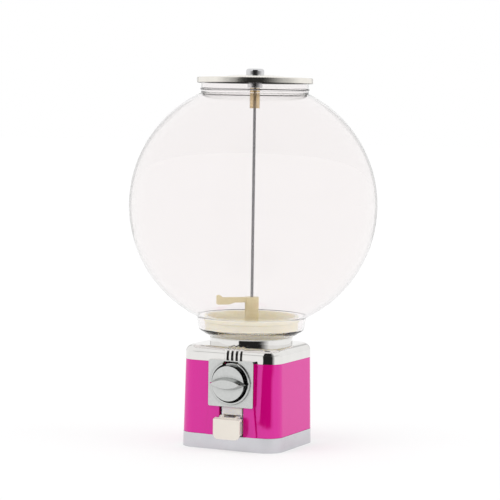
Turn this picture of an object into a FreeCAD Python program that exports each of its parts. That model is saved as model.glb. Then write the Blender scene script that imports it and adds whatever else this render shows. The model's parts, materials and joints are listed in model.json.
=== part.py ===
"""Gumball machine with a clear globe on a square body, as an assembly of separate pieces.

Frame: +Z up, the front faces -Y, the origin lies under the centre rod on the floor.
"""
import FreeCAD, Part
import math
import os
import re

import Sketcher
from FreeCAD import Placement, Rotation, Vector

# Driving sizes in millimetres and degrees
SIZES = {
    # body: a drafted square tower of base pan, shell and top cover
    "body_width": 177.0,
    "body_depth": 162.0,
    "body_corner": 29.0,
    "body_draft": 1.15,
    "rod_setback": 9.5,
    "base_height": 23.6,
    "base_wall": 4.6,
    "base_floor": 3.0,
    "rod_boss_diameter": 20.0,
    "rod_boss_height": 10.0,
    "stand_bolt_diameter": 7.0,
    "stand_bolt_spread_x": 110.0,
    "stand_bolt_spread_y": 100.0,
    "shell_height": 118.7,
    "shell_wall": 1.8,
    "shell_inset": 0.4,
    "lip_height": 4.0,
    "lip_wall": 1.6,
    "cover_height": 23.5,
    "cover_wall": 4.2,
    "cover_top": 5.5,
    "cover_round": 13.0,
    "collar_margin": 26.0,
    "collar_wall": 3.5,
    "collar_height": 9.2,
    "rib_pitch": 8.0,
    "rib_rise": 1.6,
    # front panel that carries the coin mechanism and the chute
    "mech_offset": 10.0,
    "panel_rise": 2.0,
    "panel_sink": 6.0,
    "panel_flare": 5.0,
    "chute_opening_margin": 7.0,
    # globe
    "globe_diameter": 406.4,
    "globe_wall": 3.2,
    "foot_lean": 6.2,
    "foot_height": 32.0,
    "foot_flare": 35.6,
    "foot_low_height": 11.4,
    "foot_round": 6.0,
    "foot_seat_margin": 1.2,
    "mouth_margin": 0.6,
    "neck_diameter": 175.6,
    "neck_height": 22.3,
    "neck_bead_height": 6.0,
    "neck_bead_radius": 1.5,
    "globe_blend": 3.0,
    "globe_rim_margin": 6.8,
    "globe_rim_height": 5.0,
    "globe_gasket": 1.5,
    # lid and lock
    "lid_margin": 7.2,
    "lid_sheet": 1.5,
    "lid_skirt": 8.8,
    "lid_round": 1.4,
    "lid_dome_diameter": 116.0,
    "lid_dome_rise": 4.6,
    "lid_gasket": 1.3,
    "lock_cap_diameter": 29.4,
    "lock_cap_height": 10.0,
    "lock_cap_round": 4.0,
    "lock_barrel_diameter": 24.8,
    "lock_barrel_length": 25.0,
    "lock_plug_diameter": 12.0,
    "lock_plug_length": 19.0,
    "lock_nut_height": 4.0,
    "lock_nut_across": 32.0,
    "key_slot_width": 1.6,
    "key_slot_length": 7.0,
    "key_slot_depth": 8.0,
    # centre rod
    "rod_diameter": 4.8,
    "rod_engagement": 11.5,
    "rod_start": 4.0,
    "rod_nut_height": 5.0,
    "rod_nut_across": 11.0,
    "sleeve_diameter": 16.5,
    "sleeve_length": 29.0,
    # hopper bowl
    "hopper_wall": 2.0,
    "hopper_mouth_margin": 23.8,
    "hopper_lip_width": 4.0,
    "hopper_lip_drop": 9.0,
    "hopper_lip_step": 2.0,
    "hopper_lip_round": 2.5,
    "hopper_height": 30.3,
    # product wheel and agitator
    "wheel_margin": 18.0,
    "wheel_depth": 25.0,
    "pocket_count": 6.0,
    "pocket_circle_share": 0.54,
    "pocket_share": 0.45,
    "wheel_key_across": 14.0,
    "wheel_key_height": 10.0,
    "agitator_diameter": 22.8,
    "agitator_rise": 30.5,
    "agitator_reach": 60.0,
    "agitator_bearing": 42.0,
    "arm_thickness": 8.0,
    "arm_depth": 8.5,
    "arm_knob_length": 10.0,
    "arm_knob_rise": 4.0,
    "arm_knob_drop": 3.0,
    # drive gears
    "shaft_drop": 32.3,
    "shaft_diameter": 7.0,
    "pinion_teeth": 10.0,
    "crown_setback": 5.7,
    "gear_face": 6.0,
    "crown_face": 8.0,
    "tooth_share": 0.37,
    "tooth_addendum": 1.5,
    "tooth_dedendum": 2.0,
    "tooth_flank": 20.0,
    # wheel housing
    "housing_floor": 3.0,
    "housing_groove_floor": 1.8,
    "housing_wall": 2.8,
    "housing_ear_radius": 8.0,
    "housing_ear_margin": 13.0,
    "housing_ear_height": 3.0,
    "housing_screw_diameter": 4.0,
    "housing_screw_head": 8.0,
    "housing_screw_head_height": 3.0,
    "housing_screw_reach": 8.0,
    "exit_margin": 1.4,
    "exit_wall": 1.4,
    "shield_thickness": 2.5,
    "shield_half_angle": 36.0,
    "shield_inner_radius": 19.0,
    # chute and flap
    "chute_wall": 2.2,
    "chute_floor_wall": 2.6,
    "chute_margin": 4.8,
    "chute_setback": 0.5,
    "chute_floor_drop": 39.5,
    "chute_floor_rise": 3.8,
    "chute_mouth_over_pin": 4.0,
    "chute_lintel": 3.5,
    "chute_roof_drop": 33.5,
    "chute_roof_reach": 13.2,
    "flap_pin_diameter": 3.0,
    "flap_pin_reach": 4.5,
    "flap_pin_drop": 56.0,
    "flap_margin": 11.0,
    "flap_stand_off": 15.0,
    "flap_over_base": 3.1,
    "flap_thickness": 2.8,
    "flap_corner": 9.0,
    "flap_knuckle_diameter": 6.4,
    "flap_arm_width": 5.0,
    # coin mechanism
    "plate_width": 79.6,
    "plate_height": 74.8,
    "plate_thickness": 3.5,
    "plate_corner": 3.0,
    "plate_drop": 1.3,
    "bezel_diameter": 71.0,
    "bezel_rise": 4.0,
    "bezel_taper": 20.0,
    "dial_diameter": 58.4,
    "dial_rise": 11.0,
    "dial_taper": 1.0,
    "dial_sink": 2.5,
    "coin_diameter": 25.4,
    "coin_slot": 2.4,
    "coin_lip": 3.2,
    "coin_slot_height": 5.2,
    "coin_track_width": 3.2,
    "coin_track_start": 66.0,
    "coin_track_end": -14.0,
    "handle_length": 64.0,
    "handle_width": 20.6,
    "handle_depth": 11.0,
    "handle_taper": 18.0,
    "can_diameter": 63.0,
    "can_wall": 2.0,
    "can_depth": 20.0,
    "coin_drop_angle": -50.0,
    "coin_drop_half_angle": 18.0,
    "back_plate": 2.7,
    "bushing_diameter": 12.0,
    "bushing_length": 5.5,
    "coin_wheel_thickness": 8.0,
    "ratchet_teeth": 16.0,
    "ratchet_tip_diameter": 41.0,
    "ratchet_root_diameter": 33.0,
    "ratchet_thickness": 4.0,
    "ratchet_lead": 2.0,
    "ratchet_rake": 1.0,
    "ratchet_tooth_share": 0.9,
    "ratchet_behind_coin_wheel": 2.0,
    "pawl_pivot_radius": 25.0,
    "pawl_pivot_angle": 105.0,
    "pawl_nose_angle": 60.0,
    "pawl_eye_diameter": 6.0,
    "pawl_depth": 4.4,
    "pawl_arch": 1.9,
    "pawl_hook": 5.0,
    "pawl_pin_diameter": 3.0,
    "pawl_spring_sheet": 0.5,
    "pawl_spring_reach": 25.0,
    "pawl_spring_foot": 2.0,
    "collar_ring_diameter": 12.0,
    "collar_ring_width": 3.0,
    # fits
    "run_fit": 0.05,
    "loose_fit": 0.3,
    "slip_fit": 0.1,
}

# Values worked out from the driving sizes; places in front of the rod axis are positive
WORKED_OUT = {
    "body_front": "body_depth / 2 + rod_setback",
    "body_back": "body_depth / 2 - rod_setback",
    "lean": "tan(body_draft)",
    "shell_top": "base_height + shell_height",
    "cover_ceiling": "shell_top + cover_height - cover_top",
    "cover_crown": "shell_top + cover_height",
    "collar_diameter": "body_depth - collar_margin",
    "collar_bore": "collar_diameter - 2 * collar_wall",
    "collar_top": "cover_crown + collar_height",
    "globe_bottom": "collar_top + globe_gasket",
    "globe_radius": "globe_diameter / 2",
    "globe_inside": "globe_radius - globe_wall",
    "foot_seat_diameter": "collar_diameter + foot_seat_margin",
    "mouth_diameter": "collar_bore + mouth_margin",
    "foot_low_diameter": "foot_seat_diameter + foot_flare",
    "foot_diameter": "foot_low_diameter + foot_lean",
    "foot_radius": "foot_diameter / 2",
    "foot_inside": "foot_radius - globe_wall",
    "foot_low_radius": "foot_low_diameter / 2",
    "foot_low": "globe_bottom + foot_low_height",
    "globe_centre": "globe_bottom + foot_height + sqrt(globe_radius ^ 2 - foot_radius ^ 2)",
    "neck_radius": "neck_diameter / 2",
    "neck_inside": "neck_radius - globe_wall",
    "globe_rim_diameter": "neck_diameter + globe_rim_margin",
    "lid_diameter": "globe_rim_diameter + lid_margin",
    "neck_bottom": "globe_centre + sqrt(globe_radius ^ 2 - neck_radius ^ 2)",
    "globe_top": "neck_bottom + neck_height",
    "lid_under": "globe_top + lid_gasket",
    "lid_flat": "lid_under + lid_sheet",
    "dome_top": "lid_flat + lid_dome_rise",
    "barrel_bottom": "dome_top - lock_barrel_length",
    "cap_top": "dome_top + lock_cap_height",
    "rod_radius": "rod_diameter / 2",
    "rod_top": "barrel_bottom + rod_engagement",
    "hopper_seat": "globe_bottom + globe_wall",
    "hopper_mouth_diameter": "foot_low_diameter - hopper_mouth_margin",
    "agitator_top": "hopper_seat + hopper_height + agitator_rise",
    "shaft_height": "shell_top - shaft_drop",
    "wheel_diameter": "collar_bore - wheel_margin",
    "wheel_radius": "wheel_diameter / 2",
    "crown_mean_radius": "wheel_radius - crown_setback",
    "pinion_pitch": "crown_mean_radius / pocket_count",
    "crown_teeth": "pinion_teeth * pocket_count",
    "tooth_pitch": "2 * pi * pinion_pitch / pinion_teeth",
    "pitch_plane": "shaft_height + pinion_pitch",
    "wheel_bottom": "pitch_plane + tooth_dedendum",
    "wheel_top": "wheel_bottom + wheel_depth",
    "floor_top": "wheel_bottom - loose_fit",
    "floor_bottom": "floor_top - housing_floor",
    "groove_top": "pitch_plane - tooth_addendum - 3 * loose_fit",
    "groove_bottom": "groove_top - housing_groove_floor",
    "groove_inner": "crown_mean_radius - crown_face / 2 + loose_fit",
    "housing_inner": "wheel_radius + 4 * loose_fit",
    "housing_outer": "housing_inner + housing_wall",
    "hopper_bottom": "wheel_top + 8 * loose_fit",
    "hopper_throat": "housing_inner - loose_fit",
    "hopper_neck": "collar_bore / 2 - 2 * loose_fit",
    "housing_top": "hopper_bottom + housing_ear_height",
    "housing_ear_circle": "2 * housing_outer + housing_ear_margin",
    "ball_pocket_circle": "wheel_diameter * pocket_circle_share",
    "ball_pocket_diameter": "ball_pocket_circle * pocket_share",
    "pocket_radius": "ball_pocket_circle / 2",
    "exit_diameter": "ball_pocket_diameter + exit_margin",
    "exit_forward": "sqrt(pocket_radius ^ 2 - mech_offset ^ 2)",
    "chute_back": "exit_forward - exit_diameter / 2 - exit_wall",
    "chute_front": "body_front - chute_setback",
    "chute_width": "exit_diameter + 2 * exit_wall + chute_margin",
    "chute_opening": "chute_width + chute_opening_margin",
    "chute_floor_back": "shaft_height - chute_floor_drop",
    "chute_floor_front": "base_height + chute_floor_rise",
    "chute_roof": "shaft_height - chute_roof_drop",
    "chute_mouth_top": "flap_pin_height + chute_mouth_over_pin",
    "panel_front": "body_front + panel_rise",
    "plate_front": "panel_front + plate_thickness",
    "plate_bottom": "shaft_height - plate_drop - plate_height / 2",
    "plate_top": "plate_bottom + plate_height",
    "dial_front": "plate_front + dial_rise",
    "handle_front": "dial_front + handle_depth",
    "coin_slot_top": "shaft_height + dial_diameter / 2 + coin_slot_height",
    "can_back": "panel_front - can_depth",
    "can_inside": "can_diameter / 2 - can_wall",
    "back_plate_back": "can_back - back_plate",
    "coin_wheel_back": "panel_front - coin_wheel_thickness",
    "ratchet_front": "coin_wheel_back - ratchet_behind_coin_wheel",
    "pinion_back": "crown_mean_radius - gear_face / 2",
    "flap_pin_forward": "body_front + flap_pin_reach",
    "flap_pin_height": "shaft_height - flap_pin_drop",
    "flap_width": "chute_width + flap_margin",
    "flap_front": "flap_pin_forward + flap_stand_off",
    "flap_low": "base_height - flap_over_base",
}

doc = FreeCAD.newDocument("gumball_machine")
sheet = doc.addObject("Spreadsheet::Sheet", "sizes")
for row, (name, size) in enumerate(SIZES.items(), start=1):
    sheet.set(f"A{row}", name)
    sheet.set(f"B{row}", str(size))
    sheet.setAlias(f"B{row}", name)
doc.recompute()

pieces = []


def text(formula):
    """The formula with every named value written out down to the sheet's cells."""
    def write_out(match):
        word = match.group(0)
        if word in WORKED_OUT:
            return "(" + text(WORKED_OUT[word]) + ")"
        return "sizes." + word if word in SIZES else word
    return re.sub(r"[a-z_]+", write_out, formula)


def number(formula):
    return float(sheet.evalExpression(text(formula)))


def new_body(label):
    body = doc.addObject("PartDesign::Body", label)
    body.Label = label
    pieces.append(body)
    return body


def place(piece, x="0", y="0", z="0", axis=Vector(0, 0, 1), angle=0.0):
    """Put a piece at a point worked out from the sheet, turned about one axis."""
    piece.Placement = Placement(Vector(number(x), number(y), number(z)), Rotation(axis, angle))
    for letter, formula in (("x", x), ("y", y), ("z", z)):
        piece.setExpression("Placement.Base." + letter, text(formula))


def face_forward(piece, turn=0.0):
    """Stand a piece that was drawn from the front on the handle shaft's axis."""
    upright = Rotation(Vector(1, 0, 0), 90) * Rotation(Vector(0, 0, 1), turn)
    piece.Placement = Placement(Vector(number("mech_offset"), 0, number("shaft_height")), upright)
    piece.setExpression("Placement.Base.x", text("mech_offset"))
    piece.setExpression("Placement.Base.z", text("shaft_height"))


def origin_feature(body, role):
    return [feature for feature in body.Origin.OriginFeatures if feature.Role == role][0]


def new_sketch(body, plane, offset="0"):
    sketch = body.newObject("Sketcher::SketchObject", body.Label + "_sketch")
    sketch.AttachmentSupport = [(origin_feature(body, plane), "")]
    sketch.MapMode = "FlatFace"
    sketch.setExpression("AttachmentOffset.Base.z", text(offset))
    return sketch


def dimension(sketch, kind, item, point, formula):
    """Hold one coordinate of a sketch point at a value from the sheet."""
    index = sketch.addConstraint(Sketcher.Constraint(kind, -1, 1, item, point, number(formula)))
    sketch.setExpression(f"Constraints[{index}]", text(formula))


def radius_dimension(sketch, item, formula):
    index = sketch.addConstraint(Sketcher.Constraint("Radius", item, number(formula)))
    sketch.setExpression(f"Constraints[{index}]", text(formula))


def outline(sketch, corners, closed=True):
    """Join corners (x, y) by lines; a corner (x, y, radius, cx, cy) starts an arc about (cx, cy)."""
    spots = [Vector(number(corner[0]), number(corner[1]), 0) for corner in corners]
    ends = []
    for index, corner in enumerate(corners if closed else corners[:-1]):
        start, end = spots[index], spots[(index + 1) % len(spots)]
        if len(corner) == 2:
            item = sketch.addGeometry(Part.LineSegment(start, end), False)
            ends.append((item, 1, 2))
            continue
        centre = Vector(number(corner[3]), number(corner[4]), 0)
        first = math.atan2(start.y - centre.y, start.x - centre.x)
        sweep = math.atan2(end.y - centre.y, end.x - centre.x) - first
        sweep = (sweep + math.pi) % (2 * math.pi) - math.pi
        circle = Part.Circle(centre, Vector(0, 0, 1), number(corner[2]))
        low, high = (first, first + sweep) if sweep > 0 else (first + sweep, first)
        item = sketch.addGeometry(Part.ArcOfCircle(circle, low, high), False)
        ends.append((item, 1, 2) if sweep > 0 else (item, 2, 1))
    for index, (item, head, tail) in enumerate(ends):
        corner = corners[index]
        if closed or index + 1 < len(ends):
            following = ends[(index + 1) % len(ends)]
            sketch.addConstraint(Sketcher.Constraint("Coincident", item, tail, following[0], following[1]))
        else:
            dimension(sketch, "DistanceX", item, tail, corners[-1][0])
            dimension(sketch, "DistanceY", item, tail, corners[-1][1])
        dimension(sketch, "DistanceX", item, head, corner[0])
        dimension(sketch, "DistanceY", item, head, corner[1])
        if len(corner) > 2:
            radius_dimension(sketch, item, corner[2])


def circle(sketch, x, y, radius):
    centre = Vector(number(x), number(y), 0)
    item = sketch.addGeometry(Part.Circle(centre, Vector(0, 0, 1), number(radius)), False)
    dimension(sketch, "DistanceX", item, 3, x)
    dimension(sketch, "DistanceY", item, 3, y)
    radius_dimension(sketch, item, radius)


def rounded_rectangle(sketch, left, right, low, high, radius):
    corners = [
        (f"{left} + {radius}", low),
        (f"{right} - {radius}", low, radius, f"{right} - {radius}", f"{low} + {radius}"),
        (right, f"{low} + {radius}"),
        (right, f"{high} - {radius}", radius, f"{right} - {radius}", f"{high} - {radius}"),
        (f"{right} - {radius}", high),
        (f"{left} + {radius}", high, radius, f"{left} + {radius}", f"{high} - {radius}"),
        (left, f"{high} - {radius}"),
        (left, f"{low} + {radius}", radius, f"{left} + {radius}", f"{low} + {radius}"),
    ]
    outline(sketch, corners)


def body_section(sketch, inset):
    """The body's rounded square, drawn in from its size at the floor."""
    half = f"(body_width / 2 - {inset})"
    front = f"(body_front - {inset})"
    back = f"(body_back - {inset})"
    rounded_rectangle(sketch, f"-{half}", half, f"-{front}", back, f"(body_corner - {inset})")


def extrude(body, sketch, length, kind="Pad", reverse=False, symmetric=False, taper="0"):
    """Pad or pocket a sketch; a negative taper draws the pad in."""
    before = body.Shape.Volume if kind == "Pocket" else 0.0
    feature = body.newObject("PartDesign::" + kind, body.Label + "_" + kind.lower())
    feature.Profile = sketch
    feature.Reversed = reverse
    feature.SideType = "Symmetric" if symmetric else "One side"
    feature.setExpression("Length", text(length))
    feature.setExpression("TaperAngle", text(taper))
    body.Tip = feature
    doc.recompute()
    if kind == "Pocket" and body.Shape.Volume > before - 1e-6:
        raise RuntimeError(body.Label + ": a pocket cut nothing")
    return feature


def revolve(body, sketch):
    feature = body.newObject("PartDesign::Revolution", body.Label + "_revolution")
    feature.Profile = sketch
    feature.ReferenceAxis = (sketch, ["V_Axis"])
    feature.Angle = 360
    body.Tip = feature
    doc.recompute()
    return feature


def repeat_round(body, features, count):
    pattern = body.newObject("PartDesign::PolarPattern", body.Label + "_pattern")
    pattern.Originals = features
    pattern.Axis = (origin_feature(body, "Z_Axis"), [""])
    pattern.Angle = 360
    pattern.setExpression("Occurrences", text(count))
    body.Tip = pattern
    doc.recompute()
    return pattern


def round_edges(body, radius, chosen):
    """Fillet the edges of a body that the given test picks out."""
    base = body.Tip
    names = [f"Edge{index}" for index, edge in enumerate(base.Shape.Edges, start=1) if chosen(edge)]
    feature = body.newObject("PartDesign::Fillet", body.Label + "_fillet")
    feature.Base = (base, names)
    feature.setExpression("Radius", text(radius))
    body.Tip = feature
    doc.recompute()
    return feature


def ring_edge(radius, height):
    """A test for the round edge of this radius at this height."""
    wanted_radius, wanted_height = number(radius), number(height)

    def chosen(edge):
        round_edge = isinstance(edge.Curve, Part.Circle)
        return (round_edge and abs(edge.Curve.Radius - wanted_radius) < 0.01
                and abs(edge.CenterOfMass.z - wanted_height) < 0.01)
    return chosen


def tube(label, outer, bore, low, length):
    """A round sleeve standing on the rod axis."""
    body = new_body(label)
    sketch = new_sketch(body, "XY_Plane", low)
    circle(sketch, "0", "0", outer)
    circle(sketch, "0", "0", bore)
    extrude(body, sketch, length)
    return body


def hexagon(sketch, across, turn="0"):
    """A hexagon about the sketch's origin, measured across its flats."""
    corner = f"({across} / 2 / cos(30))"
    outline(sketch, [(f"{corner} * cos({60 * step} + {turn})", f"{corner} * sin({60 * step} + {turn})")
                     for step in range(6)])


def hex_nut(label, across, bore, low, height):
    body = new_body(label)
    sketch = new_sketch(body, "XY_Plane", low)
    hexagon(sketch, across)
    circle(sketch, "0", "0", bore)
    extrude(body, sketch, height)
    return body


# Base pan: a drafted cast tray with a rod boss, stand bolt holes and a lip that centres the shell
base_pan = new_body("base_pan")
section = new_sketch(base_pan, "XY_Plane")
body_section(section, "0")
extrude(base_pan, section, "base_height", taper="-body_draft")
section = new_sketch(base_pan, "XY_Plane", "base_height")
body_section(section, "base_wall")
extrude(base_pan, section, "base_height - base_floor", "Pocket")
section = new_sketch(base_pan, "XY_Plane", "base_height")
lip_inset = "(base_height * lean + shell_inset + shell_wall + slip_fit)"
body_section(section, lip_inset)
body_section(section, f"({lip_inset} + lip_wall)")
extrude(base_pan, section, "lip_height")
section = new_sketch(base_pan, "XY_Plane", "base_height + lip_height")
rounded_rectangle(section, "mech_offset - chute_opening / 2", "mech_offset + chute_opening / 2",
                  "-body_front", "-body_front / 2", "loose_fit")
extrude(base_pan, section, "lip_height", "Pocket")
section = new_sketch(base_pan, "XY_Plane", "base_floor")
circle(section, "0", "0", "rod_boss_diameter / 2")
extrude(base_pan, section, "rod_boss_height")
section = new_sketch(base_pan, "XY_Plane", "base_floor + rod_boss_height")
circle(section, "0", "0", "rod_radius + run_fit")
extrude(base_pan, section, "rod_boss_height + base_floor - rod_start", "Pocket")
section = new_sketch(base_pan, "XY_Plane", "base_floor")
for side in ("-1", "1"):
    for end in ("-1", "1"):
        circle(section, f"{side} * stand_bolt_spread_x / 2",
               f"{end} * stand_bolt_spread_y / 2 - rod_setback", "stand_bolt_diameter / 2")
extrude(base_pan, section, "base_floor", "Pocket")

# Body shell: a drafted steel sleeve with a raised front panel, open for the mechanism and the chute
body_shell = new_body("body_shell")
section = new_sketch(body_shell, "XY_Plane", "base_height")
shell_edge = "(base_height * lean + shell_inset)"
body_section(section, shell_edge)
extrude(body_shell, section, "shell_height", taper="-body_draft")
panel_half = "(plate_width / 2 + slip_fit)"
panel_foot = f"({panel_half} + panel_flare)"
section = new_sketch(body_shell, "XZ_Plane", "panel_front")
outline(section, [
    (f"mech_offset - {panel_foot}", "base_height"),
    (f"mech_offset + {panel_foot}", "base_height"),
    (f"mech_offset + {panel_half}", "plate_bottom"),
    (f"mech_offset + {panel_half}", "shell_top"),
    (f"mech_offset - {panel_half}", "shell_top"),
    (f"mech_offset - {panel_half}", "plate_bottom"),
])
extrude(body_shell, section, "panel_sink", reverse=True)
section = new_sketch(body_shell, "XY_Plane", "shell_top")
body_section(section, f"({shell_edge} + shell_height * lean + shell_wall)")
extrude(body_shell, section, "shell_height", "Pocket", taper="body_draft")
section = new_sketch(body_shell, "XZ_Plane", "panel_front")
circle(section, "mech_offset", "shaft_height", "can_diameter / 2 + loose_fit")
extrude(body_shell, section, "body_front", "Pocket")
section = new_sketch(body_shell, "XZ_Plane", "panel_front")
outline(section, [
    ("mech_offset - chute_opening / 2", "base_height - lip_height"),
    ("mech_offset + chute_opening / 2", "base_height - lip_height"),
    ("mech_offset + chute_opening / 2", "plate_bottom - loose_fit"),
    ("mech_offset - chute_opening / 2", "plate_bottom - loose_fit"),
])
extrude(body_shell, section, "body_front", "Pocket")
slot_half = "(coin_diameter / 2 + loose_fit)"
section = new_sketch(body_shell, "XZ_Plane", "panel_front")
outline(section, [
    (f"mech_offset - {slot_half}", "shaft_height"),
    (f"mech_offset + {slot_half}", "shaft_height"),
    (f"mech_offset + {slot_half}", "coin_slot_top"),
    (f"mech_offset - {slot_half}", "coin_slot_top"),
])
extrude(body_shell, section, "body_front / 4", "Pocket")

# Top cover: a drafted cast lid over the shell with the globe's collar, four front ribs and screw bosses
top_cover = new_body("top_cover")
cover_inset = "(shell_top * lean)"
section = new_sketch(top_cover, "XY_Plane", "shell_top")
body_section(section, cover_inset)
extrude(top_cover, section, "cover_height", taper="-body_draft")
round_edges(top_cover, "cover_round", lambda edge: abs(edge.BoundBox.ZMin - number("cover_crown")) < 0.01)
section = new_sketch(top_cover, "XY_Plane", "shell_top")
body_section(section, f"({cover_inset} + cover_wall)")
extrude(top_cover, section, "cover_height - cover_top", "Pocket", reverse=True)
section = new_sketch(top_cover, "XY_Plane", "shell_top - lip_height")
cover_lip = f"({cover_inset} + shell_inset + shell_wall + slip_fit)"
body_section(section, cover_lip)
body_section(section, f"({cover_lip} + lip_wall)")
extrude(top_cover, section, "lip_height + loose_fit")
section = new_sketch(top_cover, "XZ_Plane", "panel_front")
outline(section, [
    (f"mech_offset - {panel_half}", "shell_top"),
    (f"mech_offset + {panel_half}", "shell_top"),
    (f"mech_offset + {panel_half}", "plate_top"),
    (f"mech_offset - {panel_half}", "plate_top"),
])
extrude(top_cover, section, "panel_rise + (shell_top + cover_height) * lean + slip_fit", reverse=True)
section = new_sketch(top_cover, "XZ_Plane", "panel_front")
outline(section, [
    (f"mech_offset - {panel_half}", "shell_top - 2 * lip_height"),
    (f"mech_offset + {panel_half}", "shell_top - 2 * lip_height"),
    (f"mech_offset + {panel_half}", "shell_top"),
    (f"mech_offset - {panel_half}", "shell_top"),
])
extrude(top_cover, section, "body_front", "Pocket")
collar_root = "(housing_top + 2 * loose_fit)"
section = new_sketch(top_cover, "XY_Plane", collar_root)
circle(section, "0", "0", "collar_diameter / 2")
extrude(top_cover, section, f"collar_top - {collar_root}")
rib_foot = "(body_front - shell_top * lean)"
rib_bend = "(cover_crown - cover_round)"
rib_path = new_sketch(top_cover, "YZ_Plane", "mech_offset")
outline(rib_path, [
    (f"-{rib_foot}", "shell_top"),
    (f"-{rib_foot}", rib_bend, "cover_round", f"cover_round - {rib_foot}", rib_bend),
    (f"cover_round - {rib_foot}", "cover_crown"),
    ("-collar_diameter / 2 + collar_wall / 2", "cover_crown"),
], closed=False)
rib_radius = "((rib_pitch / 2) ^ 2 / (2 * rib_rise) + rib_rise / 2)"
section = new_sketch(top_cover, "XY_Plane", "shell_top")
outline(section, [
    ("mech_offset + 2 * rib_pitch", f"-{rib_foot} + cover_wall / 2"),
    ("mech_offset - 2 * rib_pitch", f"-{rib_foot} + cover_wall / 2"),
] + [
    (f"mech_offset + {start} * rib_pitch", f"-{rib_foot}", rib_radius,
     f"mech_offset + {start + 0.5} * rib_pitch", f"-{rib_foot} + {rib_radius} - rib_rise")
    for start in (-2, -1, 0, 1)
] + [
    ("mech_offset + 2 * rib_pitch", f"-{rib_foot}"),
])
ribs = top_cover.newObject("PartDesign::AdditivePipe", "top_cover_ribs")
ribs.Profile = section
ribs.Spine = (rib_path, ["Edge1", "Edge2", "Edge3"])
top_cover.Tip = ribs
doc.recompute()
section = new_sketch(top_cover, "XZ_Plane", "panel_front")
outline(section, [
    (f"mech_offset - {slot_half}", "shell_top - 2 * lip_height"),
    (f"mech_offset + {slot_half}", "shell_top - 2 * lip_height"),
    (f"mech_offset + {slot_half}", "coin_slot_top"),
    (f"mech_offset - {slot_half}", "coin_slot_top"),
])
extrude(top_cover, section, "body_front / 4", "Pocket")
section = new_sketch(top_cover, "XY_Plane", "collar_top")
circle(section, "0", "0", "collar_bore / 2")
extrude(top_cover, section, "collar_height + cover_height", "Pocket")
section = new_sketch(top_cover, "XY_Plane", "housing_top")
ear_x = "(housing_ear_circle / 2 * cos(45))"
circle(section, ear_x, ear_x, "housing_screw_diameter")
boss = extrude(top_cover, section, "cover_ceiling - housing_top")
repeat_round(top_cover, [boss], "4")
section = new_sketch(top_cover, "XY_Plane", "housing_top")
circle(section, ear_x, ear_x, "housing_screw_diameter / 2 + slip_fit")
screw_hole = extrude(top_cover, section, "housing_screw_reach + loose_fit", "Pocket", reverse=True)
repeat_round(top_cover, [screw_hole], "4")

# Globe: blown sphere with a cupped foot below and a beaded neck above
globe = new_body("globe")
bead_low = "(neck_bottom + neck_bead_height - neck_bead_radius)"
bead_mid = "(neck_bottom + neck_bead_height)"
bead_high = "(neck_bottom + neck_bead_height + neck_bead_radius)"
rim_low = "(globe_top - globe_rim_height)"
profile = new_sketch(globe, "XZ_Plane")
outline(profile, [
    ("mouth_diameter / 2", "globe_bottom"),
    ("foot_seat_diameter / 2", "globe_bottom"),
    ("foot_low_radius", "foot_low"),
    ("foot_radius", "globe_bottom + foot_height", "globe_radius", "0", "globe_centre"),
    ("globe_radius", "globe_centre", "globe_radius", "0", "globe_centre"),
    ("neck_radius", "neck_bottom"),
    ("neck_radius", bead_low, "neck_bead_radius", "neck_radius", bead_mid),
    ("neck_radius + neck_bead_radius", bead_mid, "neck_bead_radius", "neck_radius", bead_mid),
    ("neck_radius", bead_high),
    ("neck_radius", rim_low),
    ("globe_rim_diameter / 2", rim_low),
    ("globe_rim_diameter / 2", "globe_top"),
    ("neck_inside", "globe_top"),
    ("neck_inside", "globe_centre + sqrt(globe_inside ^ 2 - neck_inside ^ 2)",
     "globe_inside", "0", "globe_centre"),
    ("globe_inside", "globe_centre", "globe_inside", "0", "globe_centre"),
    ("foot_inside", "globe_centre - sqrt(globe_inside ^ 2 - foot_inside ^ 2)"),
    ("foot_low_radius - globe_wall", "foot_low + 0.6 * globe_wall"),
    ("mouth_diameter / 2 + globe_wall / 3", "globe_bottom + globe_wall"),
    ("mouth_diameter / 2", "globe_bottom + globe_wall"),
])
revolve(globe, profile)
round_edges(globe, "foot_round", ring_edge("foot_low_radius", "foot_low"))
round_edges(globe, "globe_blend", ring_edge("foot_radius", "globe_bottom + foot_height"))
round_edges(globe, "globe_blend", ring_edge("neck_radius", "neck_bottom"))

# Rubber ring between the collar and the globe's foot
tube("globe_gasket", "collar_diameter / 2 - loose_fit", "collar_bore / 2", "collar_top", "globe_gasket")

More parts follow.
